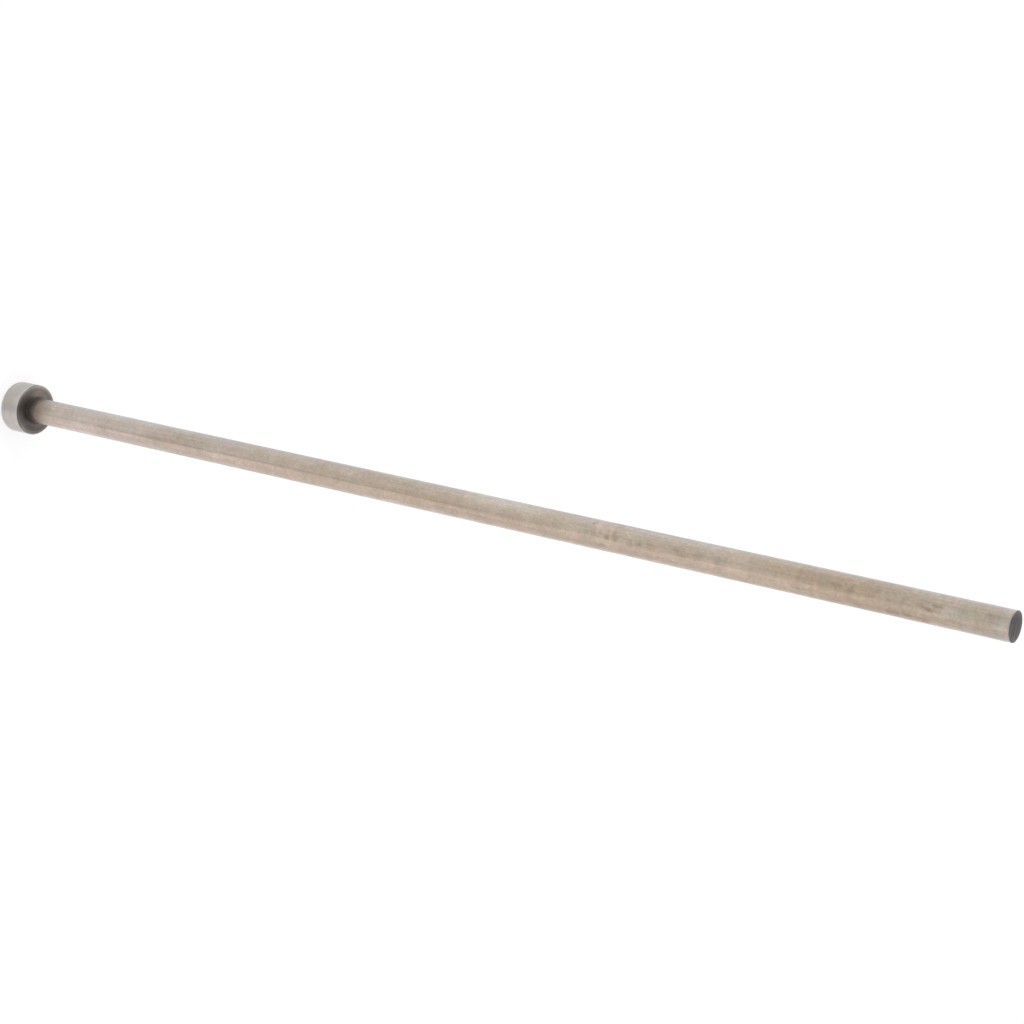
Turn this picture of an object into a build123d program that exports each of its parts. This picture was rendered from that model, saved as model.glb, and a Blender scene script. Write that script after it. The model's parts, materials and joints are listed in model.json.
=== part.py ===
from build123d import *
import os

# Straight ejector pin for a mould: a round shank and a turned head, in one piece of steel.
# Sizes are in millimetres. The pin stands on its head. The origin is the centre of the head's
# back face, and +Z runs along the axis to the tip, which pushes the moulding out.

# Driving dimensions of a 3/16 in pin, 8 in long over all, with a 3/8 in head 3/16 in thick
pin_diameter = 4.7625
overall_length = 203.2
head_diameter = 9.525
head_thickness = 4.7625

# Edges and corners, each left by the tool that made it
head_back_chamfer = 0.3
head_rim_chamfer = 0.25
under_head_fillet = 0.4
tip_edge_break = 0.04

pin_radius = pin_diameter / 2
head_radius = head_diameter / 2

with BuildPart() as ejector_pin:
    # Half section through the axis: the head, the step in to the shank, and the shank
    with BuildSketch(Plane.XZ) as half_section:
        with BuildLine():
            Polyline(
                (0, 0),
                (head_radius, 0),
                (head_radius, head_thickness),
                (pin_radius, head_thickness),
                (pin_radius, overall_length),
                (0, overall_length),
                close=True,
            )
        make_face()
    revolve(axis=Axis.Z)

    # The turned circles, in groups from the back of the head up to the tip
    back_edge, seat_edges, tip_edge = ejector_pin.edges().filter_by(GeomType.CIRCLE).group_by(Axis.Z)
    corner_edge, rim_edge = seat_edges.sort_by(SortBy.RADIUS)
    chamfer(back_edge, length=head_back_chamfer)
    chamfer(rim_edge, length=head_rim_chamfer)
    fillet(corner_edge, radius=under_head_fillet)
    chamfer(tip_edge, length=tip_edge_break)

ejector_pin.part.label = "ejector_pin"

os.makedirs("parts", exist_ok=True)
export_step(ejector_pin.part, "parts/ejector_pin.step")
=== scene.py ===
"""Straight ejector pin for a mould, dressed for its picture.

The pin is one piece of steel: a ground shank and a turned head. It stands on its head in the
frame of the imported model, with +Z from the back of the head to the tip. Lengths are in metres,
apart from names that end in _mm. Angles round the pin are 0 towards -Y and 90 towards +X.
"""

import json
import logging
import math
from dataclasses import dataclass, field
from enum import Enum
from typing import Iterable, Sequence

import bpy
import numpy as np
from bpy.types import Material, Mesh, Node, NodeSocket, Object
from mathutils import Matrix, Vector


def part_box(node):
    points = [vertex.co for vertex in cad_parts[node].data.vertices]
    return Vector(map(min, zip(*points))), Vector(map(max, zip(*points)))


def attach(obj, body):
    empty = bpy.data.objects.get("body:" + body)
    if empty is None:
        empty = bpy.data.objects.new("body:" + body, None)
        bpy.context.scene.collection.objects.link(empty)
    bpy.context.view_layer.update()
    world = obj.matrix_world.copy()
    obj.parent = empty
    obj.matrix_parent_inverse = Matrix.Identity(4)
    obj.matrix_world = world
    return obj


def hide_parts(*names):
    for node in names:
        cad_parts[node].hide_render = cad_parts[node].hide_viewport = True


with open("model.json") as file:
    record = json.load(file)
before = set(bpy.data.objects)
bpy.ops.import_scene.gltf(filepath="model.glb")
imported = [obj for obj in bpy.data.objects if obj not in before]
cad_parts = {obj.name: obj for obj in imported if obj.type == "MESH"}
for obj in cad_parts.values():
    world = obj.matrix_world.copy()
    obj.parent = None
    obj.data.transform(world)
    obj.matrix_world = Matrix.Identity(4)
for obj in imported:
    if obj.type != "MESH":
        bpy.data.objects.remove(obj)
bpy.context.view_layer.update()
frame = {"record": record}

log = logging.getLogger("ejector_pin")

MM = 0.001
Colour = Cells = Triple = tuple[float, float, float]
Spot = tuple[float, float]
WHITE: Colour = (1.0, 1.0, 1.0)
# A mark as wide as this goes nearly evenly round the whole shank
ROUND_MM = 30


class Surface(Enum):
    """The surfaces of the pin, each left by a cut of its own. The value is the material's place."""

    BACK = 0
    HEAD_SIDE = 1
    EDGE = 2
    SEAT = 3
    SHANK = 4
    TIP = 5


class Lay(Enum):
    """Which way a cut's fine lines run."""

    ROUND_THE_AXIS = "round"
    STRAIGHT_ACROSS = "across"


class End(Enum):
    """The two ends of the pin, for placing marks."""

    HEAD = "head"
    TIP = "tip"


@dataclass(frozen=True)
class Grain:
    """A soft random pattern in the steel.

    It has so many cells for each metre along X, Y and Z, and a number of finer layers, more or
    less rough. Two patterns that start at different places differ.
    """

    cells: Cells
    layers: float = 2.0
    rough: float = 0.5
    start: float = 0.0


@dataclass(frozen=True)
class Fade:
    """A smooth change, from at_low where a value is low to at_high where it is high.

    The value is the grain itself, which gives patches, or a distance that the grain makes uneven.
    """

    grain: Grain
    low: float
    high: float
    at_low: float = 0.0
    at_high: float = 1.0


def put_in_scene(name: str, data: bpy.types.ID) -> Object:
    """Makes an object and puts it in the scene.

    Args:
        name: Its name.
        data: Its mesh, light or camera.

    Returns:
        The object.
    """
    made = bpy.data.objects.new(name, data)
    bpy.context.scene.collection.objects.link(made)
    return made


def paint_colour(mesh: Mesh, name: str, colour: np.ndarray) -> None:
    """Paints a colour on each point of a mesh, for its material to read.

    Args:
        mesh: The mesh.
        name: Name of the painted colour.
        colour: Red, green and blue of each point.
    """
    rgba = np.concatenate([colour, np.ones((len(colour), 1))], 1)
    layer = mesh.attributes.new(name, "FLOAT_COLOR", "POINT")
    layer.data.foreach_set("color", rgba.astype(np.float32).ravel())


class Wiring:
    """One material's node tree, built a node at a time."""

    def __init__(self, name: str) -> None:
        """Starts an empty material.

        Args:
            name: The material's name.
        """
        self.material: Material = bpy.data.materials.new(name)
        self.material.use_nodes = True
        self.tree = self.material.node_tree
        self.tree.nodes.clear()

    def node(self, kind: str, inputs: dict[str | int, object] | None = None, **settings: object) -> Node:
        """Adds a node.

        Args:
            kind: Blender's name for the node type.
            inputs: What its inputs get, by their names or numbers.
            **settings: Properties to set on the node.

        Returns:
            The new node.
        """
        made = self.tree.nodes.new(kind)
        for name, value in settings.items():
            setattr(made, name, value)
        for name, value in (inputs or {}).items():
            self.feed(made.inputs[name], value)
        return made

    def feed(self, target: NodeSocket, value: object) -> None:
        """Links a socket into target, or writes a plain value on it.

        Args:
            target: The input socket.
            value: An output socket, a number or a colour.
        """
        if isinstance(value, NodeSocket):
            self.tree.links.new(value, target)
        elif isinstance(value, tuple) and target.type == "RGBA":
            target.default_value = (*value, 1.0)
        else:
            target.default_value = value

    def finish(self, shader: NodeSocket) -> Material:
        """Sends a shader to the material's output, and gives the material."""
        self.node("ShaderNodeOutputMaterial", {"Surface": shader})
        return self.material

    def math(self, operation: str, *values: object) -> NodeSocket:
        """Does one sum with numbers or sockets, by the Math node's operation."""
        return self.node("ShaderNodeMath", dict(enumerate(values)), operation=operation).outputs[0]

    def noise(self, grain: Grain) -> NodeSocket:
        """Makes a soft random pattern on the pin.

        Args:
            grain: The pattern.

        Returns:
            A value from about 0 to 1.
        """
        point = self.node("ShaderNodeTexCoord").outputs["Object"]
        cells = {"Vector": point, "Scale": grain.cells, "Location": (grain.start,) * 3}
        place = self.node("ShaderNodeMapping", cells).outputs["Vector"]
        look = {"Vector": place, "Scale": 1.0, "Detail": grain.layers, "Roughness": grain.rough}
        return self.node("ShaderNodeTexNoise", look).outputs["Fac"]

    def ramp(self, value: NodeSocket, low: float, high: float, *results: float) -> NodeSocket:
        """Maps low to high smoothly onto two results, or onto 0 and 1, and never past them."""
        inputs = dict(enumerate((value, low, high, *results)))
        return self.node("ShaderNodeMapRange", inputs, interpolation_type="SMOOTHSTEP").outputs[0]

    def patches(self, fade: Fade) -> NodeSocket:
        """Fades with the grain itself, which gives patches."""
        return self.ramp(self.noise(fade.grain), fade.low, fade.high, fade.at_low, fade.at_high)

    def ragged(self, distance: NodeSocket, fade: Fade, reach: float) -> NodeSocket:
        """Fades with a distance, along an edge that the grain moves to and fro by reach in all."""
        edge = self.math("MULTIPLY_ADD", self.noise(fade.grain), reach, distance)
        return self.ramp(edge, fade.low + reach / 2, fade.high + reach / 2, fade.at_low, fade.at_high)

    def mix(self, share: object, first: object, second: object, blend: str = "MIX") -> NodeSocket:
        """Blends two colours.

        Args:
            share: How much of the second, from 0 to 1.
            first: Colour or socket.
            second: Colour or socket.
            blend: The Mix node's way of blending.

        Returns:
            The blended colour.
        """
        # Of the Mix node's many sockets, 6 and 7 take the colours and 2 gives the blend
        inputs = {0: share, 6: first, 7: second}
        settings = {"data_type": "RGBA", "blend_type": blend, "clamp_factor": True}
        return self.node("ShaderNodeMix", inputs, **settings).outputs[2]

    def times(self, colour: NodeSocket, factor: object) -> NodeSocket:
        """Multiplies a colour by a number or by another colour."""
        return self.mix(1.0, colour, factor, "MULTIPLY")

    def tint(self, colour: NodeSocket, share: NodeSocket, tint: Colour) -> NodeSocket:
        """Multiplies a colour by a tint, as much as share says."""
        return self.times(colour, self.mix(share, WHITE, tint))

    def vary(self, colour: NodeSocket, pattern: NodeSocket, amount: float) -> NodeSocket:
        """Makes a colour darker and lighter with a pattern, by amount from end to end."""
        return self.times(colour, self.math("MULTIPLY_ADD", pattern, amount, 1.0 - amount / 2))

    def painted(self, name: str, output: str = "Fac") -> NodeSocket:
        """Reads a value, or with output Color a colour, that was painted on the mesh's points."""
        return self.node("ShaderNodeAttribute", attribute_name=name).outputs[output]

    def position(self) -> Sequence[NodeSocket]:
        """Gives X, Y and Z of the point on the pin."""
        point = self.node("ShaderNodeTexCoord").outputs["Object"]
        return self.node("ShaderNodeSeparateXYZ", {0: point}).outputs

    def radius(self) -> NodeSocket:
        """Gives the distance from the pin's axis."""
        x, y, _ = self.position()
        return self.math("SQRT", self.math("MULTIPLY_ADD", x, x, self.math("MULTIPLY", y, y)))


@dataclass(frozen=True)
class SteelFinish:
    """A bare steel surface with the fine lines of its last cut, broader bands and a soft mottle.

    Each pattern's cells are for each metre, and its run cells are those along the cut. Its share
    is its part in the change from colour to shade.
    """

    name: str
    colour: Colour
    shade: Colour
    roughness: float
    anisotropy: float
    lay: Lay = Lay.ROUND_THE_AXIS
    line_cells: float = 5200.0
    line_run_cells: float = 150.0
    line_share: float = 0.3
    line_depth: float = 0.004 * MM
    relief_run_cells: float = 110.0
    band_cells: float = 900.0
    band_run_cells: float = 70.0
    band_share: float = 0.5
    mottle_cells: float = 500.0
    mottle_share: float = 0.2
    mottle: float = 0.3
    shade_from: float = 0.38
    shade_to: float = 0.62
    ring_cells: float = 2500.0
    ring_layers: float = 2.0
    rings: float = 0.0
    rub_cells: float = 0.6
    rub_change: float = 0.12
    rub_from: float = 0.3
    rub_to: float = 0.7
    anisotropy_turn: float = 0.25

    def stretched(self, along: float, across: float) -> Cells:
        """Stretches a pattern along the cut's lines.

        Args:
            along: Cells for each metre along the lines.
            across: Cells for each metre from line to line.

        Returns:
            The cells on X, Y and Z.
        """
        if self.lay is Lay.STRAIGHT_ACROSS:
            return (along, across, across)
        return (along, along, across)

    def tone(self, wiring: Wiring) -> NodeSocket:
        """Colours the steel, with bands, lines, rings and a soft mottle.

        Args:
            wiring: The material's node tree.

        Returns:
            The colour.
        """
        mottle = wiring.noise(Grain((self.mottle_cells,) * 3, layers=4.0, rough=0.6))
        bands = wiring.noise(Grain(self.stretched(self.band_run_cells, self.band_cells), start=3.0))
        lines = wiring.noise(Grain(self.stretched(self.line_run_cells, self.line_cells), start=7.0))
        share = wiring.math("MULTIPLY", lines, self.line_share)
        share = wiring.math("MULTIPLY_ADD", bands, self.band_share, share)
        share = wiring.math("MULTIPLY_ADD", mottle, self.mottle_share, share)
        cut = wiring.mix(wiring.ramp(share, self.shade_from, self.shade_to), self.colour, self.shade)
        # Painted tints from the mesh: stains, and painted highlights, painted shade and painted
        # reflections.
        cut = wiring.times(cut, wiring.painted("tint_and_painted_light", "Color"))
        if self.rings:
            cut = wiring.vary(cut, self.rings_round_axis(wiring, self.ring_cells, start=5.0), self.rings)
        return wiring.vary(cut, mottle, self.mottle)

    def rings_round_axis(self, wiring: Wiring, cells: float, start: float) -> NodeSocket:
        """Makes rings about the axis that also show on a flat end.

        Args:
            wiring: The material's node tree.
            cells: Rings for each metre of radius and of height.
            start: Where in the pattern to start.

        Returns:
            A value from about 0 to 1.
        """
        reach = wiring.math("ADD", wiring.radius(), wiring.position()[2])
        place = wiring.math("MULTIPLY_ADD", reach, cells, start)
        look = {"W": place, "Scale": 1.0, "Detail": self.ring_layers}
        return wiring.node("ShaderNodeTexNoise", look, noise_dimensions="1D").outputs["Fac"]

    def relief(self, wiring: Wiring) -> NodeSocket:
        """Cuts the fine lines.

        Args:
            wiring: The material's node tree.

        Returns:
            The bumped normal.
        """
        start = 11.0
        if self.lay is Lay.STRAIGHT_ACROSS:
            cells = self.stretched(self.relief_run_cells, self.line_cells)
            lines = wiring.noise(Grain(cells, start=start))
        else:
            lines = self.rings_round_axis(wiring, self.line_cells, start)
        inputs = {"Strength": 1.0, "Distance": self.line_depth, "Height": lines}
        return wiring.node("ShaderNodeBump", inputs).outputs["Normal"]

    def rub(self, wiring: Wiring) -> NodeSocket:
        """Varies the roughness over the surface, in patches broader than the mottle.

        Args:
            wiring: The material's node tree.

        Returns:
            The roughness.
        """
        patch = wiring.noise(Grain((self.mottle_cells * self.rub_cells,) * 3, layers=3.0, start=21.0))
        change = self.roughness * self.rub_change
        return wiring.ramp(
            patch, self.rub_from, self.rub_to, self.roughness - change, self.roughness + change
        )

    def material(self) -> Material:
        """Builds the material.

        Returns:
            A material with its colour, roughness and relief from nodes.
        """
        wiring = Wiring(self.name)
        inputs = {
            "Metallic": 1.0,
            "Anisotropic": self.anisotropy,
            "Anisotropic Rotation": self.anisotropy_turn,
            "Base Color": self.tone(wiring),
            "Roughness": self.rub(wiring),
            "Normal": self.relief(wiring),
        }
        if self.lay is Lay.ROUND_THE_AXIS:
            tangent = wiring.node("ShaderNodeTangent", direction_type="RADIAL", axis="Z")
            inputs["Tangent"] = tangent.outputs[0]
        return wiring.finish(wiring.node("ShaderNodeBsdfPrincipled", inputs).outputs["BSDF"])


@dataclass(frozen=True)
class ShankFinish(SteelFinish):
    """The ground shank: warm steel, clouded grey-green and pink, with rust and smudges."""

    green: Colour = (0.946, 0.979, 0.954)
    green_patches: Fade = Fade(Grain((700.0, 700.0, 430.0), 3.0, 0.6, 31.0), 0.44, 0.62)
    pink: Colour = (1.026, 0.981, 0.969)
    pink_patches: Fade = Fade(Grain((800.0, 800.0, 420.0), 3.0, 0.6, 37.0), 0.46, 0.64)
    rust: Colour = (0.70, 0.64, 0.57)
    rust_patches: Fade = Fade(Grain((1900.0, 1900.0, 700.0), 4.0, 0.6, 47.0), 0.36, 0.58, 0.5)
    smudge: Colour = (0.62, 0.61, 0.595)
    smudge_patches: Fade = Fade(Grain((1500.0, 1500.0, 2100.0), 4.0, 0.65, 43.0), 0.36, 0.60, 0.55)
    uneven: tuple[tuple[Grain, float], ...] = (
        (Grain((3800.0, 3800.0, 2800.0), 3.0, 0.6, 50.0), 0.44),
        (Grain((1700.0, 1700.0, 1300.0), 3.0, 0.6, 51.0), 0.42),
        (Grain((2600.0, 2600.0, 60.0), 3.0, 0.6, 53.0), 0.44),
        (Grain((170.0, 170.0, 160.0), 3.0, 0.6, 57.0), 0.16),
        (Grain((260.0, 260.0, 2400.0), 3.0, 0.6, 59.0), 0.12),
    )

    def tone(self, wiring: Wiring) -> NodeSocket:
        """Colours the shank.

        Args:
            wiring: The material's node tree.

        Returns:
            The colour.
        """
        colour = super().tone(wiring)
        for fade, tint in ((self.green_patches, self.green), (self.pink_patches, self.pink)):
            colour = wiring.tint(colour, wiring.patches(fade), tint)
        for grain, amount in self.uneven:
            colour = wiring.vary(colour, wiring.noise(grain), amount)
        for name, fade, tint in (
            ("rust", self.rust_patches, self.rust),
            ("smudge", self.smudge_patches, self.smudge),
        ):
            share = wiring.math("MULTIPLY", wiring.painted(name), wiring.patches(fade))
            colour = wiring.tint(colour, share, tint)
        return colour


@dataclass(frozen=True)
class SeatFinish(SteelFinish):
    """The faced ring under the head, with painted shade that darkens it towards the corner under the shank
    and further out on one side.
    """

    corner_shade: Colour = (0.62, 0.65, 0.68)
    corner_shade_edge: Fade = Fade(Grain((600.0,) * 3, 3.0, start=61.0), 2.25 * MM, 3.10 * MM, 1.0, 0.0)
    corner_shade_ragged: float = 0.8 * MM
    corner_shade_side: tuple[float, float] = (0.5, -0.87)
    corner_shade_side_from: float = -1.5 * MM
    corner_shade_side_to: float = 2.5 * MM
    corner_shade_spread: float = 0.9 * MM

    def tone(self, wiring: Wiring) -> NodeSocket:
        """Colours the seat.

        Args:
            wiring: The material's node tree.

        Returns:
            The colour.
        """
        # Painted shade: the seat is darkened near the corner under the shank, and further out towards one
        # side.
        (x, y, _), (side_x, side_y) = wiring.position(), self.corner_shade_side
        toward = wiring.math("MULTIPLY_ADD", x, side_x, wiring.math("MULTIPLY", y, side_y))
        spread = wiring.ramp(toward, self.corner_shade_side_from, self.corner_shade_side_to, 0.0, self.corner_shade_spread)
        reach = wiring.math("SUBTRACT", wiring.radius(), spread)
        share = wiring.ragged(reach, self.corner_shade_edge, self.corner_shade_ragged)
        return wiring.tint(super().tone(wiring), share, self.corner_shade)


@dataclass(frozen=True)
class EdgeBrightFinish(SteelFinish):
    """A surface painted brighter towards one edge. On the head side this is a painted highlight next to
    the front rim; the tip's face gets brighter towards its rim.
    """

    bright_from: float = 0.0
    bright_to: float = 1.0
    bright_gain: float = 1.0
    bright_grain: Grain = Grain((500.0,) * 3, 3.0, start=63.0)
    bright_ragged: float = 0.3 * MM
    flat_end: bool = False

    def tone(self, wiring: Wiring) -> NodeSocket:
        """Colours the surface.

        Args:
            wiring: The material's node tree.

        Returns:
            The colour.
        """
        place = wiring.radius() if self.flat_end else wiring.position()[2]
        fade = Fade(self.bright_grain, self.bright_from, self.bright_to, 1.0, self.bright_gain)
        gain = wiring.ragged(place, fade, self.bright_ragged)
        return wiring.times(super().tone(wiring), gain)


@dataclass(frozen=True)
class PinPoints:
    """The points of the pin's mesh, as distances from the axis, heights and angles round it.

    Edges gives the radius and height of each end's outer edge, which for the head is at its seat.
    """

    radius: np.ndarray
    height: np.ndarray
    angle: np.ndarray
    edges: dict[End, Spot]

    def turn_from(self, angle_deg: float) -> np.ndarray:
        """Gives each point's angle from a line along the pin, from minus pi to pi."""
        return (self.angle - math.radians(angle_deg) + math.pi) % (2 * math.pi) - math.pi


@dataclass(frozen=True)
class ShankMark:
    """A mark on the shank. Its place is a share of the shank's height and an angle round it."""

    height_share: float
    angle_deg: float
    length_mm: float
    width_mm: float

    def cover(self, points: PinPoints) -> np.ndarray:
        """Says how far the mark covers each point.

        Args:
            points: The pin's points.

        Returns:
            From 0 to 1 for each point.
        """
        (_, seat), (radius, tip) = points.edges[End.HEAD], points.edges[End.TIP]
        along = (points.height - seat - self.height_share * (tip - seat)) / (self.length_mm * MM)
        around = points.turn_from(self.angle_deg) * radius / (self.width_mm * MM)
        return np.exp(-(along ** 4 + around ** 2)) * (points.height > seat)


@dataclass(frozen=True)
class Stain(ShankMark):
    """A smudge or a rust spot on the shank, as strong as strength says."""

    strength: float


@dataclass(frozen=True)
class ShankTint(ShankMark):
    """A tint on the shank that multiplies the steel's colour by its tint: stains in some places, and
    painted shade and painted reflections in others.
    """

    tint: Colour | float


@dataclass(frozen=True)
class EndMark:
    """A tint on one end. Its place is a share of that end's radius and height, and an angle."""

    end: End
    radius_share: float
    height_share: float
    angle_deg: float
    spread_deg: float
    reach_mm: float
    tint: Colour | float

    def cover(self, points: PinPoints) -> np.ndarray:
        """Says how far the mark covers each point.

        Args:
            points: The pin's points.

        Returns:
            From 0 to 1 for each point.
        """
        radius, height = points.edges[self.end]
        out, up = points.radius - self.radius_share * radius, points.height - self.height_share * height
        away = np.hypot(out, up) / (self.reach_mm * MM)
        around = points.turn_from(self.angle_deg) / math.radians(self.spread_deg)
        return np.exp(-(away ** 2 + around ** 4))


@dataclass
class Outline:
    """The pin's half section, as points from the axis at the back to the axis at the tip."""

    points: list[Spot] = field(default_factory=list)
    surfaces: list[Surface] = field(default_factory=list)

    def add(self, surface: Surface, points: Iterable[Sequence[float]]) -> None:
        """Goes on with more points.

        Args:
            surface: The surface that leads to each of them.
            points: Radius and height of each.
        """
        for radius, height in points:
            self.points.append((float(radius), float(height)))
            self.surfaces.append(surface)


@dataclass
class Corner:
    """A slightly rounded corner between two straight stretches of the half section."""

    at: Spot
    before: Spot
    after: Spot
    radius: float
    steps: int

    def points(self) -> np.ndarray:
        """Gives the arc's points, in order.

        Returns:
            Radius and height of each point.
        """
        corner, back, on = (np.array(p, float) for p in (self.at, self.before, self.after))
        to_back = (back - corner) / np.linalg.norm(back - corner)
        to_on = (on - corner) / np.linalg.norm(on - corner)
        half = math.acos(float(np.clip(to_back @ to_on, -1, 1))) / 2
        run = self.radius / math.tan(half)
        middle = to_back + to_on
        centre = corner + middle / np.linalg.norm(middle) * self.radius / math.sin(half)
        first, last = corner + to_back * run - centre, corner + to_on * run - centre
        sweep = math.pi - 2 * half
        turn = math.copysign(1.0, first[0] * last[1] - first[1] * last[0])
        angles = np.linspace(0, sweep * turn, self.steps + 1)
        cos, sin = np.cos(angles), np.sin(angles)
        return centre + np.stack([cos * first[0] - sin * first[1], sin * first[0] + cos * first[1]], 1)


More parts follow.
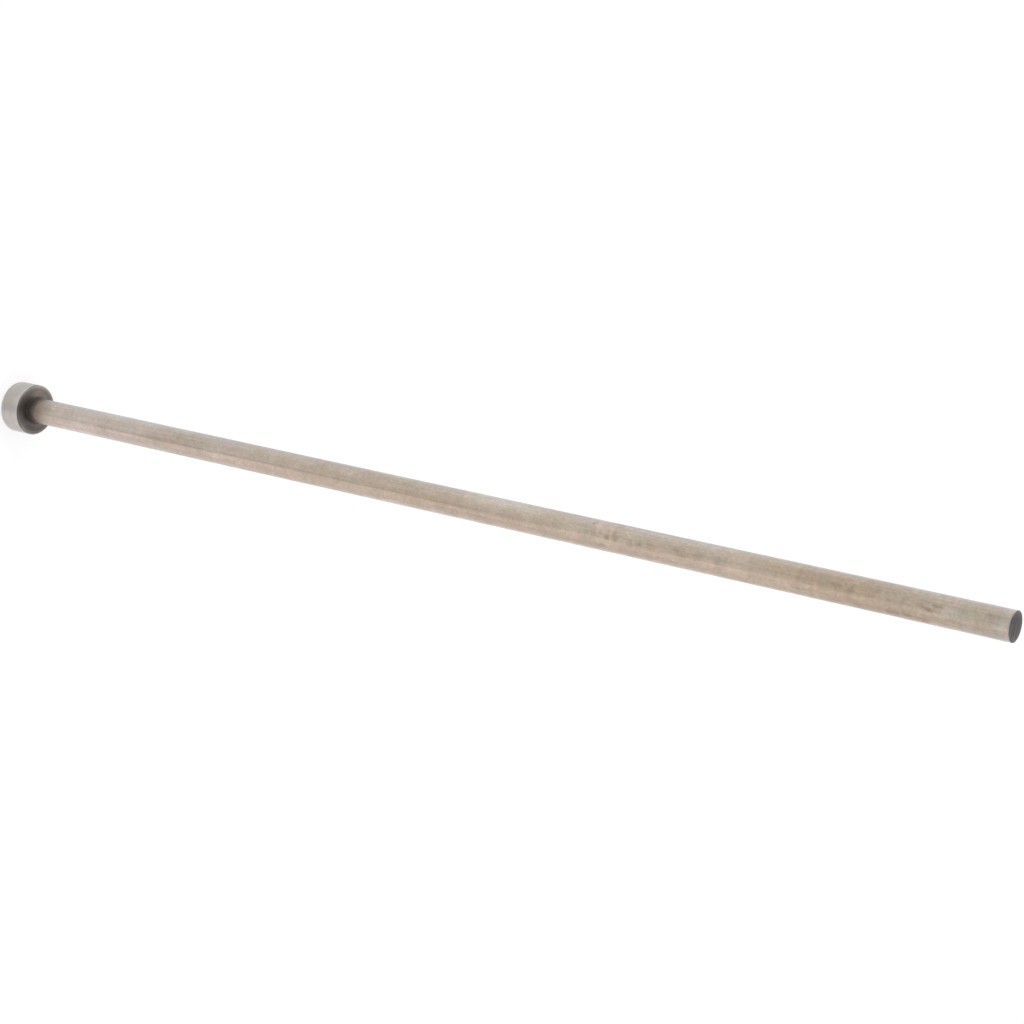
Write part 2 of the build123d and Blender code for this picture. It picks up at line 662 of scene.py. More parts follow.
@dataclass
class EjectorPin:
    """The pin: back of the head, head, seat under the head, shank and tip, turned from one bar."""

    node: str = "ejector_pin"
    piece: str = "ejector_pin_steel"
    body: str = "root"
    slot: str = "ground_steel"
    back_chamfer: float = 0.30 * MM
    rim_chamfer: float = 0.25 * MM
    tip_edge_break: float = 0.04 * MM
    under_head_fillet: float = 0.40 * MM
    fillet_steps: int = 8
    corner_radius: float = 0.03 * MM
    corner_steps: int = 4
    tip_corner_radius: float = 0.01 * MM
    tip_corner_steps: int = 2
    back_pitch: float = 0.48 * MM
    side_pitch: float = 0.15 * MM
    seat_pitch: float = 0.12 * MM
    groove_depth: float = 0.004 * MM
    shallowest_groove: float = 0.4
    groove_steps: int = 4
    shank_step: float = 0.34 * MM
    tip_rings: int = 11
    segments: int = 112
    seed: int = 12
    # In smudges and rusts: share of the shank's height, angle, length and width in mm, strength
    smudges: tuple[Stain, ...] = tuple(Stain(*row) for row in (
        (0.3, 150, 5, 1.5, 0.5),
        (0.56, -120, 3, 1.2, 0.6),
        (0.625, -22, 0.8, 0.5, 0.2),
        (0.644, -39, 0.3, 0.3, 0.75),
        (0.645, -6, 1.4, 1, 0.12),
        (0.646, -48, 0.3, 0.3, 0.35),
        (0.648, -10, 0.3, 0.5, 0.35),
        (0.648, 5, 0.3, 0.5, 0.6),
        (0.653, -8, 0.3, 0.4, 0.6),
        (0.657, 39, 0.7, 0.3, 0.5),
        (0.66, 4, 0.5, 0.3, 0.95),
        (0.661, -16, 0.3, 0.6, 0.4),
        (0.666, -18, 0.3, 0.6, 0.8),
        (0.668, 1, 0.4, 0.4, 1),
        (0.681, 4, 0.4, 0.4, 0.7),
        (0.684, 16, 0.3, 0.6, 0.35),
        (0.69, 4, 0.5, 0.3, 0.65),
        (0.702, 3, 1, 0.5, 0.4),
        (0.721, -6, 1.8, 0.6, 0.4),
        (0.724, -8, 0.6, 0.4, 0.45),
        (0.73, 10, 0.9, 0.5, 0.55),
        (0.743, -4, 1.2, 0.6, 0.4),
        (0.76, 2, 1, 0.8, 0.3),
        (0.85, -12, 3, 0.8, 0.25),
        (0.975, 10, 5, 2.6, 0.12),
    ))
    rusts: tuple[Stain, ...] = tuple(Stain(*row) for row in (
        (0.19, 6, 8, 0.9, 0.25),
        (0.45, 170, 8, 2, 0.4),
        (0.71, 8, 9, 0.7, 0.25),
        (0.845, -25, 9, 1, 0.2),
        (0.863, -8, 1.5, 0.5, 0.45),
        (0.875, 2, 0.6, 0.4, 0.5),
        (0.876, -13, 0.5, 0.4, 0.55),
        (0.906, 9, 0.4, 0.4, 0.4),
        (0.906, 49, 0.5, 0.3, 0.7),
        (0.91, 44, 0.4, 0.3, 0.5),
        (0.918, 1, 0.5, 0.4, 0.4),
        (0.92, -13, 0.5, 0.4, 0.5),
        (0.921, 48, 0.5, 0.3, 0.7),
        (0.925, 50, 5, 0.8, 0.25),
        (0.93, 47, 0.3, 0.3, 0.5),
        (0.931, -2, 0.6, 0.3, 0.6),
        (0.935, 6, 0.8, 0.3, 0.65),
        (0.935, 60, 0.8, 0.4, 0.4),
        (0.938, 10, 0.4, 0.3, 0.7),
        (0.942, 10, 0.8, 0.3, 0.6),
        (0.944, -9, 0.9, 0.3, 1),
        (0.955, 25, 1, 0.4, 0.45),
        (0.964, -12, 0.4, 0.4, 0.5),
        (0.984, -21, 0.5, 0.4, 0.45),
        (0.985, 30, 2.5, 0.7, 0.35),
    ))
    # Share of the shank's height, angle, length and width in mm, and tint
    shank_tints_and_light: tuple[ShankTint, ...] = tuple(ShankTint(*row) for row in (
        # The first five tints darken the foot of the shank next to the head: painted shade.
        (0, 0, 4.8, ROUND_MM, (0.71, 0.7, 0.7)),
        (0, 0, 1.9, ROUND_MM, (0.84, 0.84, 0.85)),
        (0.003, -38, 1.5, 1.7, (0.84, 0.84, 0.86)),
        (0.004, -80, 2.2, 2.2, 0.74),
        (0.008, 50, 2.6, 2, 0.92),
        (0.014, -22, 0.6, 0.5, (1.13, 1.11, 1.15)),
        (0.015, 8, 1, 0.5, (0.89, 0.88, 0.89)),
        (0.025, -23, 0.7, 0.7, (0.93, 0.91, 0.88)),
        (0.031, 32, 1.2, 0.7, (0.92, 0.94, 0.95)),
        (0.035, 20, 3.5, 1.4, (0.93, 0.92, 0.9)),
        (0.042, -8, 1.2, 0.6, (1.13, 1.14, 1.13)),
        (0.05, 62, 8, 0.7, (1.1, 1.09, 1.12)),
        (0.06, 5, 6, 1.2, (1.05, 1.07, 1.1)),
        (0.06, 23, 1.4, 0.5, (0.92, 0.95, 0.95)),
        (0.075, 0, 13, ROUND_MM, (1.01, 1.04, 1.09)),
        (0.107, 3, 7, 0.6, (1.07, 1.06, 1.06)),
        (0.115, 45, 2.8, 1, (0.93, 0.92, 0.93)),
        (0.141, 5, 2.5, 0.9, (1.12, 1.12, 1.16)),
        (0.165, 26, 3, 0.7, (0.92, 0.94, 0.95)),
        (0.17, -62, 10, 0.7, (1.05, 1.09, 1.11)),
        (0.2, 0, 22, ROUND_MM, (0.99, 1, 1.03)),
        (0.204, -25, 6, 1.5, (0.93, 0.92, 0.91)),
        (0.248, 9.64, 8, 0.5, (1.09, 1.07, 1.09)),
        (0.25, -42, 6, 2.2, (0.93, 0.94, 0.95)),
        (0.255, 38, 6, 0.8, (1.06, 1.06, 1.05)),
        # A thin dark line along the shank: a painted reflection.
        (0.27, 9.64, 46, 0.14, (0.84, 0.82, 0.8)),
        (0.28, 0, 20, 0.9, (1.06, 1.07, 1.08)),
        (0.285, 38, 4, 0.5, (1.08, 1.07, 1.05)),
        (0.35, -18, 5.5, 1.2, (0.91, 0.93, 0.93)),
        (0.405, -10, 26, 0.8, (0.985, 0.97, 0.96)),
        (0.405, 46, 26, 0.8, (0.985, 0.98, 0.96)),
        (0.45, 62, 14, 0.7, (1.08, 1.07, 1.09)),
        (0.455, -42, 10, 0.8, (0.93, 0.94, 0.9)),
        (0.455, 7, 5, 0.5, (1.06, 1.05, 1.04)),
        (0.5, 10.5, 9, 0.7, (0.95, 0.93, 0.91)),
        (0.505, -22, 7, 0.5, (1.07, 1.05, 1.05)),
        (0.515, 17, 8, 1.2, 0.94),
        (0.555, -42, 7, 1.7, (1.12, 1.16, 1.18)),
        (0.568, 16, 2.6, 1.3, (0.92, 0.9, 0.89)),
        (0.582, 10, 5, 0.4, (0.94, 0.93, 0.92)),
        (0.62, 22, 3, 0.6, 1.08),
        (0.633, -22, 5, 0.9, (1.08, 1.07, 1.07)),
        (0.651, -29, 0.4, 0.4, (1.12, 1.12, 1.13)),
        (0.66, 50, 36, 1.1, (0.915, 0.905, 0.895)),
        (0.67, -15, 3, 1.2, (1.06, 1.06, 1.05)),
        (0.67, 60, 2.5, 0.5, (0.92, 0.93, 0.94)),
        (0.7, 2, 18, 0.8, (1.07, 1.08, 1.07)),
        (0.733, 6, 5, 0.6, (1.07, 1.05, 1.03)),
        (0.74, -62, 9, 0.7, (1.04, 1.06, 1.07)),
        (0.77, 24, 5, 0.6, (1.08, 1.1, 1.1)),
        (0.795, -40, 4, 0.9, (0.93, 0.93, 0.9)),
        (0.82, 75, 14, 1, (0.9, 0.9, 0.88)),
        (0.825, -15, 5, 0.7, (0.95, 0.93, 0.89)),
        (0.83, 0, 14, ROUND_MM, (1.02, 1.005, 0.975)),
        (0.85, -22, 5, 0.6, (1.05, 1.07, 1.13)),
        (0.865, -20, 8, 2.2, (0.97, 0.93, 0.89)),
        (0.87, 50, 3.5, 1.4, (0.93, 0.94, 0.94)),
        (0.885, -43, 20, 0.6, (0.98, 0.965, 0.95)),
        (0.895, 62, 4, 0.7, (0.94, 0.93, 0.93)),
        (0.9, -45, 4.5, 2, (0.91, 0.91, 0.88)),
        (0.9, 6, 13, 0.8, (1.08, 1.09, 1.08)),
        (0.905, 45, 9, 1.6, (0.95, 0.92, 0.89)),
        (0.919, 14, 0.4, 0.3, (1.12, 1.12, 1.13)),
        (0.921, 14, 2.5, 0.6, (0.93, 0.94, 0.94)),
        (0.931, 39, 0.4, 0.3, (1.22, 1.19, 1.17)),
        (0.935, -64, 6, 0.7, 1.11),
        (0.945, 65, 14, 1.3, (0.89, 0.92, 0.94)),
        (0.95, -50, 9, 1.6, (0.93, 0.93, 0.92)),
        (0.957, 3, 2.2, 0.8, (1.04, 1.09, 1.14)),
        (0.969, 10, 2, 0.5, (0.92, 0.94, 0.92)),
        (0.969, 26, 2.4, 0.8, (0.92, 0.93, 0.93)),
        (0.978, 62, 4, 0.7, (0.91, 0.92, 0.94)),
        (0.98, 3, 6, 0.8, (1.18, 1.2, 1.19)),
        (0.987, -9, 1.6, 0.5, (0.9, 0.9, 0.91)),
        (0.99, 34, 1.6, 1, (1.06, 1.1, 1.15)),
        (0.994, -18, 1.3, 0.4, (0.85, 0.85, 0.84)),
        (0.996, 10, 1.2, 2.2, (1.02, 1.07, 1.13)),
        (0.996, 50, 0.4, 0.8, (0.88, 0.88, 0.87)),
        (0.998, -56, 0.5, 0.5, (1.15, 1.15, 1.16)),
        (1, 0, 0.3, ROUND_MM, (0.93, 0.97, 1.04)),
    ))
    # In all marks of an end: shares of its radius and height, angle, spread, reach in mm, tint
    # On the head's side and rim: painted highlights and painted shade, with a few warmer and cooler tints.
    side_marks: tuple[EndMark, ...] = tuple(EndMark(End.HEAD, *row) for row in (
        (1, 0.08, -60, 12, 0.32, (0.88, 0.88, 0.87)),
        (1, 0.08, 63, 21, 0.34, (1.19, 1.17, 1.15)),
        (1, 0.1, -30, 8, 0.32, (0.9, 0.9, 0.89)),
        (1, 0.2, 28, 28, 1.4, (0.97, 0.99, 1.04)),
        (1, 0.3, 44, 9, 1.4, 0.94),
        (1, 0.35, 6, 10, 2.3, (0.84, 0.84, 0.85)),
        (1, 0.4, -40, 9, 0.9, 0.93),
        (1, 0.5, -95, 45, 3, (1.01, 0.98, 0.93)),
        (1, 0.5, 84, 9, 2.3, (1.09, 1.09, 1.1)),
        (1, 0.55, -9, 12, 1.2, (1.02, 1, 0.96)),
        (1, 0.76, -12, 13, 0.75, 1.16),
        (0.99, 0.93, 32, 14, 0.16, 0.88),
        (1, 0.95, 70, 8, 0.16, 0.87),
        (1, 0.96, -72, 9, 0.17, 0.84),
        (1, 0.96, 50, 7, 0.16, 0.82),
        (0.985, 0.965, -68, 18, 0.18, (0.5, 0.5, 0.51)),
        (0.985, 0.965, 104, 26, 0.2, 0.68),
        (1, 0.97, 11, 9, 0.28, 0.87),
        (0.98, 0.97, 54, 17, 0.14, (0.7, 0.7, 0.71)),
    ))
    # On the seat: painted highlights and painted shade, from the fillet in the corner under the shank out
    # to the rim.
    seat_marks: tuple[EndMark, ...] = tuple(EndMark(End.HEAD, *row) for row in (
        (0.5, 1.07, 12, 38, 0.28, (1.32, 1.3, 1.28)),
        (0.53, 1.01, -40, 18, 0.12, (0.76, 0.74, 0.71)),
        (0.53, 1.01, 50, 26, 0.14, (0.5, 0.48, 0.46)),
        (0.54, 1.02, 10, 44, 0.15, 0.77),
        (0.55, 1.01, -90, 28, 0.25, (1.64, 1.62, 1.6)),
        (0.56, 1, 92, 16, 0.2, (1.14, 1.13, 1.12)),
        (0.57, 1, -64, 14, 0.24, 1.27),
        (0.6, 1.01, 0, 38, 0.75, (1.04, 1.04, 1.05)),
        (0.62, 1, 38, 20, 0.35, (0.62, 0.6, 0.58)),
        (0.64, 1, 74, 8, 0.16, (0.78, 0.78, 0.8)),
        (0.65, 1, -86, 24, 0.18, 0.87),
        (0.69, 1, 100, 24, 0.25, 0.8),
        (0.73, 1, 5, 36, 0.3, (1.15, 1.14, 1.14)),
        (0.78, 1, -45, 24, 0.5, 0.8),
        (0.79, 1, 60, 10, 0.14, (1.2, 1.2, 1.19)),
        (0.8, 1, -92, 12, 0.42, (1.13, 1.13, 1.12)),
        (0.8, 1, 0, 38, 0.7, (0.96, 1.01, 1.1)),
        (0.8, 1, 88, 50, 0.42, (0.62, 0.61, 0.6)),
        (0.84, 1, -17, 9, 0.6, (0.88, 0.88, 0.87)),
        (0.84, 1, 38, 11, 0.5, 0.85),
        (0.88, 1, 2, 22, 0.5, (1.19, 1.19, 1.2)),
        (0.885, 1, 60, 14, 0.1, 0.84),
        (0.91, 1, -55, 60, 0.22, (0.955, 0.995, 1.03)),
        (0.92, 1, -114, 46, 0.2, (1.5, 1.51, 1.52)),
        (0.93, 1, -74, 16, 0.09, (1.25, 1.25, 1.24)),
        (0.93, 1, 60, 9, 0.09, (1.6, 1.56, 1.5)),
        (0.935, 1, 50, 12, 0.08, 1.15),
        (0.97, 1, 115, 25, 0.3, (1.04, 1, 0.93)),
    ))
    tip_marks: tuple[EndMark, ...] = tuple(EndMark(End.TIP, *row) for row in (
        (0, 1, 0, 180, 0.8, (0.96, 0.93, 0.92)),
        (0.35, 1, 15, 45, 0.45, (0.9, 0.87, 0.86)),
        (0.42, 1, -80, 35, 0.35, 0.82),
        (0.6, 1, 180, 60, 0.5, (1.16, 1.14, 1.18)),
        (0.7, 1, 80, 40, 0.7, (1.18, 1.13, 1.08)),
        (0.75, 1, -20, 45, 0.8, (0.88, 0.87, 0.88)),
        (0.8, 1, 0, 70, 0.9, (1.03, 1, 0.95)),
        (0.82, 1, 60, 15, 0.25, (1.18, 1.17, 1.16)),
        (0.9, 1, -95, 34, 0.45, (1.3, 1.28, 1.26)),
        (0.95, 1, 165, 100, 0.75, (1.42, 1.4, 1.4)),
    ))

    def __post_init__(self) -> None:
        """Reads the pin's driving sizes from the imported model."""
        low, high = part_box(self.node)
        mounts = {mount["name"]: mount for mount in frame["record"]["mounts"]}
        self.length = high.z
        self.head_radius = mounts["head_rim"]["dims"]["r_mm"] * MM
        self.shank_radius = mounts["shank"]["dims"]["r_mm"] * MM
        self.head_thickness = mounts["head_seat"]["pos_m"][2]
        self.random = np.random.default_rng(self.seed)

    def scalloped(self, start: Sequence[float], end: Sequence[float], pitch: float) -> list[Spot]:
        """Goes from start to end with the shallow grooves that a turning tool leaves.

        Args:
            start: Radius and height of the first point.
            end: Radius and height of the last point.
            pitch: Feed of the tool for each turn.

        Returns:
            Points on and under the straight line.
        """
        first, last = np.array(start, float), np.array(end, float)
        run = float(np.linalg.norm(last - first))
        along = (last - first) / run
        into_steel = np.array([-along[1], along[0]])
        turns = max(1, round(run / pitch))
        depths = self.groove_depth * self.random.uniform(self.shallowest_groove, 1.0, turns)
        points = []
        for turn, depth in enumerate(depths):
            for part in np.arange(self.groove_steps) / self.groove_steps:
                spot = first + along * run * (turn + part) / turns
                points.append(tuple(spot + into_steel * depth * math.sin(math.pi * part)))
        points.append(tuple(last))
        return points

    def outline(self) -> Outline:
        """Draws the half section, with its edges and the marks of turning.

        Returns:
            The outline from the centre of the head's back to the centre of the tip.
        """
        head, shank, seat, top = self.head_radius, self.shank_radius, self.head_thickness, self.length
        sharp = (
            (0.0, 0.0),
            (head - self.back_chamfer, 0.0),
            (head, self.back_chamfer),
            (head, seat - self.rim_chamfer),
            (head - self.rim_chamfer, seat),
            (shank, seat),
            (shank, top - self.tip_edge_break),
            (shank - self.tip_edge_break, top),
            (0.0, top),
        )
        # Four corners on the head, the fillet under it, and two corners at the tip
        rounds = [(self.corner_radius, self.corner_steps)] * 4
        rounds += [(self.under_head_fillet, self.fillet_steps)]
        rounds += [(self.tip_corner_radius, self.tip_corner_steps)] * 2
        back_start, back_end, rim_start, rim_end, fillet, tip_start, tip_end = (
            Corner(at, before, after, radius, steps).points()
            for before, at, after, (radius, steps) in zip(sharp, sharp[1:], sharp[2:], rounds)
        )
        shank_run = fillet[-1][1], tip_start[0][1]
        shank_steps = round((shank_run[1] - shank_run[0]) / self.shank_step)

        line = Outline()
        line.add(Surface.BACK, self.scalloped(sharp[0], back_start[0], self.back_pitch))
        line.add(Surface.EDGE, [*back_start[1:], *back_end])
        line.add(Surface.HEAD_SIDE, self.scalloped(back_end[-1], rim_start[0], self.side_pitch)[1:])
        line.add(Surface.EDGE, [*rim_start[1:], *rim_end])
        line.add(Surface.SEAT, self.scalloped(rim_end[-1], fillet[0], self.seat_pitch)[1:])
        line.add(Surface.SEAT, fillet[1:])
        line.add(Surface.SHANK, ((shank, z) for z in np.linspace(*shank_run, shank_steps + 1)[1:]))
        line.add(Surface.EDGE, [*tip_start[1:], *tip_end])
        line.add(Surface.TIP, ((r, top) for r in np.linspace(tip_end[-1][0], 0.0, self.tip_rings + 1)[1:]))
        return line

    def mesh(self, line: Outline) -> Mesh:
        """Turns the half section round the axis.

        Args:
            line: The half section.

        Returns:
            A closed mesh, with one material place for each surface.
        """
        radii, heights = np.array(line.points).T
        angles = np.arange(self.segments) * 2 * math.pi / self.segments
        rings = slice(1, len(radii) - 1)
        x = np.outer(radii[rings], np.sin(angles))
        y = np.outer(radii[rings], -np.cos(angles))
        z = np.repeat(heights[rings], self.segments).reshape(x.shape)
        points = [(0.0, 0.0, heights[0])]
        points += list(zip(x.ravel(), y.ravel(), z.ravel()))
        points.append((0.0, 0.0, heights[-1]))
        faces, places = [], []
        count = x.shape[0]
        for step in range(self.segments):
            on = (step + 1) % self.segments
            faces.append((0, 1 + on, 1 + step))
            places.append(line.surfaces[1].value)
            for ring in range(count - 1):
                low, high = 1 + ring * self.segments, 1 + (ring + 1) * self.segments
                faces.append((low + step, low + on, high + on, high + step))
                places.append(line.surfaces[ring + 2].value)
            last = 1 + (count - 1) * self.segments
            faces.append((last + step, last + on, len(points) - 1))
            places.append(line.surfaces[-1].value)
        made = bpy.data.meshes.new(self.piece)
        made.from_pydata(points, [], faces)
        made.polygons.foreach_set("material_index", places)
        made.shade_smooth()
        made.update()
        return made

    def places(self, mesh: Mesh) -> PinPoints:
        """Reads where the mesh's points are.

        Args:
            mesh: The pin's mesh.

        Returns:
            The points, about the pin's axis.
        """
        flat = np.zeros(len(mesh.vertices) * 3)
        mesh.vertices.foreach_get("co", flat)
        x, y, z = flat.reshape(-1, 3).T
        edges = {
            End.HEAD: (self.head_radius, self.head_thickness),
            End.TIP: (self.shank_radius, self.length),
        }
        return PinPoints(np.hypot(x, y), z, np.arctan2(x, -y), edges)

    def paint(self, mesh: Mesh, points: PinPoints, name: str, stains: Sequence[Stain]) -> None:
        """Paints stains on the mesh's points, for the shank's finish to read.

        Args:
            mesh: The pin's mesh.
            points: Where its points are.
            name: Name of the painted value.
            stains: The stains.
        """
        weight = sum(stain.strength * stain.cover(points) for stain in stains)
        layer = mesh.attributes.new(name, "FLOAT", "POINT")
        layer.data.foreach_set("value", np.clip(weight, 0, 1).astype(np.float32))

    def paint_tints_and_light(self, mesh: Mesh, points: PinPoints, marks: Sequence[ShankTint | EndMark]) -> None:
        """Paints thin tints on the mesh's points, one over another, for every finish to read: stains, and
        painted highlights, painted shade and painted reflections.

        Args:
            mesh: The pin's mesh.
            points: Where its points are.
            marks: The tints.
        """
        colour = np.ones((len(mesh.vertices), 3))
        for mark in marks:
            colour *= 1 + mark.cover(points)[:, None] * (np.array(mark.tint) - 1)
        paint_colour(mesh, "tint_and_painted_light", colour)

    def finishes(self) -> dict[Surface, SteelFinish]:
        """Chooses a finish for each surface.

        Returns:
            The finish of every surface.
        """
        return {
            Surface.BACK: SteelFinish(
                "faced_back", (0.50, 0.48, 0.465), (0.42, 0.405, 0.39),
                roughness=0.34, anisotropy=0.6, rings=0.4,
            ),
            # The head side is painted lighter next to its front rim: a painted highlight.
            Surface.HEAD_SIDE: EdgeBrightFinish(
                "turned_head_side", (0.59, 0.545, 0.51), (0.52, 0.485, 0.46),
                roughness=0.33, anisotropy=0.7, mottle=0.45, bright_gain=1.16,
                bright_from=self.head_thickness - 0.85 * MM, bright_to=self.head_thickness - 0.45 * MM,
            ),
            Surface.EDGE: SteelFinish(
                "broken_edge", (0.555, 0.52, 0.47), (0.43, 0.405, 0.365),
                roughness=0.34, anisotropy=0.3,
            ),
            Surface.SEAT: SeatFinish(
                "faced_seat", (0.56, 0.48, 0.435), (0.44, 0.375, 0.34),
                roughness=0.34, anisotropy=0.75, rings=0.45,
            ),
            Surface.SHANK: ShankFinish(
                "ground_shank", (0.64, 0.535, 0.443), (0.62, 0.515, 0.428),
                roughness=0.32, anisotropy=0.85, line_depth=0.002 * MM, mottle=0.0,
            ),
            Surface.TIP: EdgeBrightFinish(
                "cut_tip", (0.305, 0.282, 0.254), (0.163, 0.150, 0.137),
                roughness=0.36, anisotropy=0.0, lay=Lay.STRAIGHT_ACROSS, line_cells=4200.0,
                mottle_cells=2400.0, mottle=1.2, bright_gain=1.2, flat_end=True,
                bright_from=1.75 * MM, bright_to=self.shank_radius - 0.1 * MM,
            ),
        }

    def build(self) -> Object:
        """Makes the pin, dresses it and sets it on its body.

        Returns:
            The finished piece.
        """
        mesh = self.mesh(self.outline())
        points = self.places(mesh)
        self.paint(mesh, points, "smudge", self.smudges)
        self.paint(mesh, points, "rust", self.rusts)
        self.paint_tints_and_light(mesh, points, self.shank_tints_and_light + self.side_marks + self.seat_marks + self.tip_marks)
        chosen = self.finishes()
        for surface in Surface:
            mesh.materials.append(chosen[surface].material())
        piece = put_in_scene(self.piece, mesh)
        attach(piece, self.body)
        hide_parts(self.node)
        return piece


@dataclass
class Studio:
    """A plain pale floor in plain soft light, with toned paper that only reflections see."""

    floor_size: float = 12.0
    floor_gap: float = 0.02 * MM
    floor_white: float = 0.76
    floor_grey: Colour = (0.25, 0.25, 0.25)
    world_strength: float = 1.0
    key_place: Triple = (-0.9, -0.3, 0.8)
    key_size: float = 0.5
    key_watts: float = 2.0
    card_lift: float = 0.2 * MM
    card_segments: int = 180
    # Distance from the axis, and level
    card_levels: tuple[tuple[float, float], ...] = (
        # The dip near the head is a painted shadow of the head on the floor, as the shank mirrors it.
        (0.0052, 1.00),
        (0.0080, 0.95),
        (0.0110, 0.88),
        (0.0160, 1.01),
        (0.0350, 1.01),
        (0.0700, 0.96),
        (0.1250, 0.95),
        (0.1850, 1.02),
        (0.2600, 1.01),
        (0.4000, 0.96),
        (0.6000, 0.96),
        (3.0000, 0.96),
    )
    # Angle round the pin, and tone
    card_tones: tuple[tuple[float, Colour], ...] = (
        (-180.0, (1.20, 1.25, 1.30)),
        (-160.0, (1.14, 1.22, 1.30)),
        (-145.0, (0.88, 0.96, 1.04)),
        (-122.0, (0.89, 0.98, 1.07)),
        (-89.0, (0.905, 0.96, 1.01)),
        (-60.0, (0.91, 0.935, 0.95)),
        (-35.0, (0.875, 0.885, 0.885)),
        (-11.0, (0.85, 0.86, 0.86)),
        (16.0, (0.85, 0.85, 0.85)),
        (24.0, (0.88, 0.87, 0.87)),
        (32.0, (1.03, 1.01, 1.02)),
        (60.0, (1.03, 1.00, 1.01)),
        (89.0, (0.98, 0.95, 0.96)),
        (120.0, (1.01, 1.02, 1.08)),
        (138.0, (1.06, 1.09, 1.15)),
        (158.0, (1.24, 1.28, 1.33)),
    )
    dome_radius: float = 3.0
    dome_step_deg: float = 7.5
    dome_azimuths: tuple[float, ...] = (-180.0, -135.0, -90.0, -45.0, 0.0, 45.0, 90.0, 135.0)
    # Angle above the floor, and the tone at each azimuth
    dome_tones: tuple[tuple[float, tuple[float, ...]], ...] = (
        (0.0, (0.70, 0.65, 0.60, 0.30, 0.12, 0.25, 0.45, 0.50)),
        (10.0, (0.55, 0.65, 0.65, 0.30, 0.10, 0.22, 0.42, 0.55)),
        (20.0, (0.38, 0.62, 0.75, 0.32, 0.10, 0.20, 0.42, 0.58)),
        (32.0, (0.42, 0.65, 0.75, 0.38, 0.12, 0.20, 0.42, 0.60)),
        (46.0, (0.44, 0.60, 0.60, 0.35, 0.15, 0.25, 0.42, 0.55)),
        (65.0, (0.35, 0.38, 0.38, 0.28, 0.22, 0.28, 0.36, 0.36)),
        (89.0, (0.55, 0.55, 0.55, 0.55, 0.55, 0.55, 0.55, 0.55)),
    )

    def floor(self) -> Object:
        """Lays the floor: white to the camera and to reflections, and shaded by the pin.

        Returns:
            The floor.
        """
        wiring = Wiring("pale_floor")
        path = wiring.node("ShaderNodeLightPath").outputs
        seen = wiring.math("MAXIMUM", path["Is Camera Ray"], path["Is Glossy Ray"])
        seen = wiring.math("MAXIMUM", seen, path["Is Transmission Ray"])
        strength = wiring.math("MULTIPLY", seen, self.floor_white)
        glow = wiring.node("ShaderNodeEmission", {"Strength": strength})
        paper = wiring.node("ShaderNodeBsdfDiffuse", {"Color": self.floor_grey})
        both = wiring.node("ShaderNodeAddShader", {0: glow.outputs[0], 1: paper.outputs[0]})
        half, low = self.floor_size / 2, -self.floor_gap
        corners = [(x * half, y * half, low) for x, y in ((-1, -1), (1, -1), (1, 1), (-1, 1))]
        mesh = bpy.data.meshes.new("floor")
        mesh.from_pydata(corners, [], [(0, 1, 2, 3)])
        mesh.materials.append(wiring.finish(both.outputs[0]))
        made = put_in_scene("floor", mesh)
        return made

    def ring(self, degrees: np.ndarray, radius: float, height: float) -> np.ndarray:
        """Gives the points at these angles of a level ring about the axis."""
        turn = np.radians(degrees)
        return np.stack([radius * np.sin(turn), -radius * np.cos(turn), np.full_like(turn, height)], 1)

    def toned_card(self, name: str, points: Sequence[np.ndarray], colours: Sequence[np.ndarray]) -> Object:
        """Makes a card from rings of points. Its paper glows with the tone of each point.

        Args:
            name: Its name.
            points: The points of each ring, all rings having as many.
            colours: The colours of each ring's points.

        Returns:
            The card, seen only by reflections.
        """
        count = len(points[0])
        faces = []
        for ring in range(len(points) - 1):
            for step in range(count):
                here, on = ring * count + step, ring * count + (step + 1) % count
                faces.append((here, on, on + count, here + count))
        mesh = bpy.data.meshes.new(name)
        mesh.from_pydata(np.concatenate(points).tolist(), [], faces)
        paint_colour(mesh, "tone", np.concatenate(colours))
        wiring = Wiring(name + "_paper")
        glow = wiring.node("ShaderNodeEmission", {"Color": wiring.painted("tone", "Color")})
        mesh.materials.append(wiring.finish(glow.outputs[0]))
        made = put_in_scene(name, mesh)
        made.visible_camera = made.visible_diffuse = made.visible_shadow = False
        return made

    def ring_card(self) -> Object:
        """Lays a toned paper ring round the pin, for its sides to mirror.

        Returns:
            The ring.
        """
        degrees = np.linspace(-180.0, 180.0, self.card_segments + 1)[:-1]
        stops, tones = zip(*self.card_tones)
        colour = np.stack([np.interp(degrees, stops, channel, period=360) for channel in zip(*tones)], 1)
        points = [self.ring(degrees, radius, self.card_lift) for radius, _ in self.card_levels]
        return self.toned_card("ring_card", points, [colour * level for _, level in self.card_levels])

    def dome_card(self) -> Object:
        """Bends a toned paper dome over the pin, for its ends and edges to mirror.

        Returns:
            The dome.
        """
        degrees = np.arange(-180.0, 180.0, self.dome_step_deg)
        points, colours = [], []
        for rise_deg, tones in self.dome_tones:
            out, up = (self.dome_radius * turn(math.radians(rise_deg)) for turn in (math.cos, math.sin))
            points.append(self.ring(degrees, out, up + self.card_lift))
            tone = np.interp(degrees, self.dome_azimuths, tones, period=360)
            colours.append(np.repeat(tone[:, None], 3, 1))
        return self.toned_card("dome_card", points, colours)

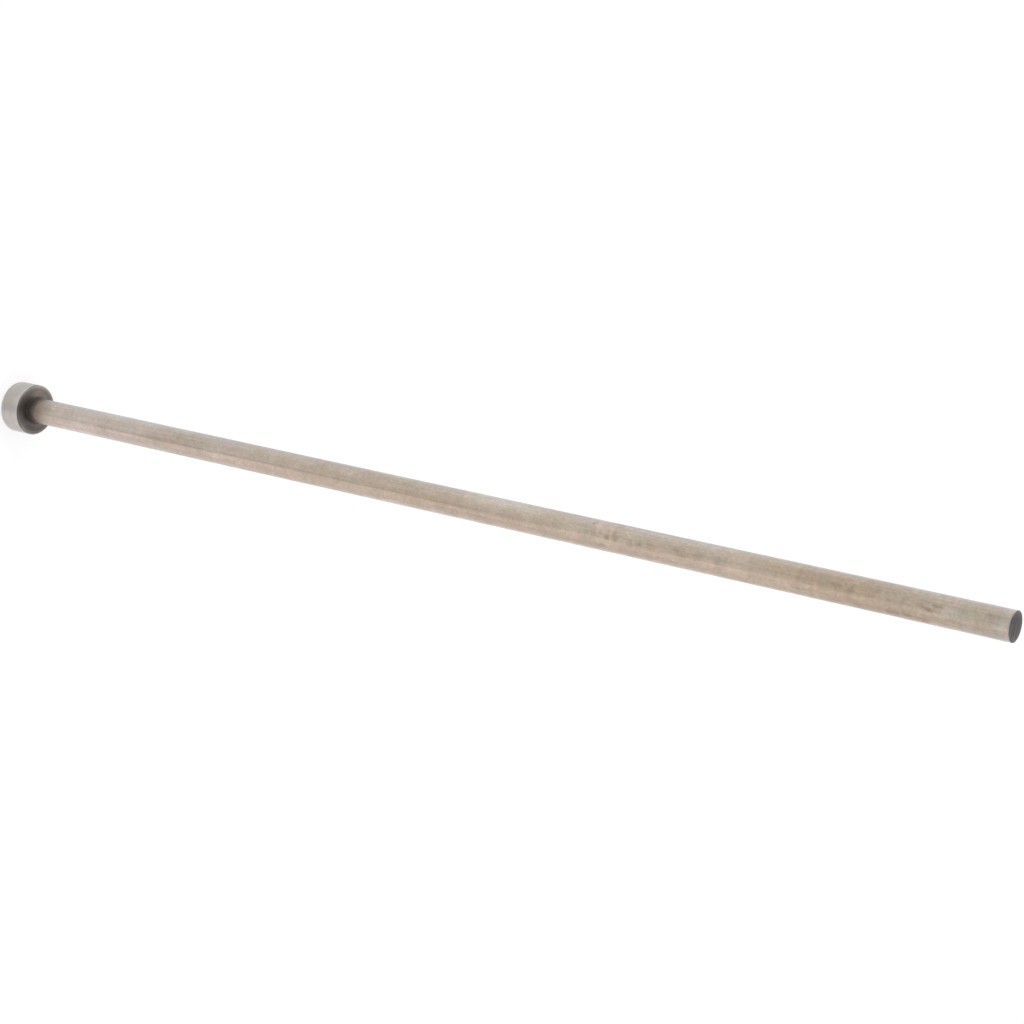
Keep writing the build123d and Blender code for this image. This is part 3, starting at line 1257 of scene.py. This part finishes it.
    def key_lamp(self) -> Object:
        """Hangs a soft lamp that points at the pin.

        Returns:
            The lamp.
        """
        light = bpy.data.lights.new("key_lamp", "AREA")
        light.size, light.energy = self.key_size, self.key_watts
        made = put_in_scene("key_lamp", light)
        made.visible_glossy = False
        made.location = self.key_place
        made.rotation_euler = (-Vector(self.key_place)).to_track_quat("-Z", "Y").to_euler()
        return made

    def world(self) -> None:
        """Lights everything evenly from a white sky."""
        sky = bpy.data.worlds.new("white_sky")
        sky.use_nodes = True
        glow = sky.node_tree.nodes["Background"]
        glow.inputs["Color"].default_value = (*WHITE, 1.0)
        glow.inputs["Strength"].default_value = self.world_strength
        bpy.context.scene.world = sky

    def build(self) -> list[Object]:
        """Sets up floor, cards, lamp and sky.

        Returns:
            The floor, the cards and the lamp.
        """
        self.world()
        return [self.floor(), self.ring_card(), self.dome_card(), self.key_lamp()]


@dataclass
class PhotoCamera:
    """The camera, where the photograph was taken from. It is rolled, so that the pin lies across."""

    place: Triple = (0.0, -0.30146, 0.31468)
    right: Triple = (-0.21602, 0.53743, 0.81517)
    up: Triple = (-0.97639, -0.12015, -0.17953)
    lens_mm: float = 77.92
    sensor_mm: float = 36.0
    near: float = 0.02
    far: float = 50.0

    def build(self) -> Object:
        """Places the camera.

        Returns:
            The camera, set as the scene's own.
        """
        data = bpy.data.cameras.new("photo_camera")
        data.lens, data.sensor_width = self.lens_mm, self.sensor_mm
        data.clip_start, data.clip_end = self.near, self.far
        made = put_in_scene("photo_camera", data)
        right = Vector(self.right).normalized()
        back = right.cross(Vector(self.up)).normalized()
        turn = Matrix((right, back.cross(right), back)).transposed().to_4x4()
        made.matrix_world = Matrix.Translation(Vector(self.place)) @ turn
        bpy.context.scene.camera = made
        return made


def main() -> None:
    """Builds the pin, the studio and the camera, in that order."""
    logging.basicConfig(level=logging.INFO, format="%(message)s")
    bpy.context.scene.view_settings.view_transform = "Standard"
    pin = EjectorPin().build()
    log.info("%s: %d points, %d faces", pin.name, len(pin.data.vertices), len(pin.data.polygons))
    for thing in Studio().build():
        log.info("%s is set up", thing.name)
    log.info("%s is set up", PhotoCamera().build().name)


if __name__ == "__main__":
    main()
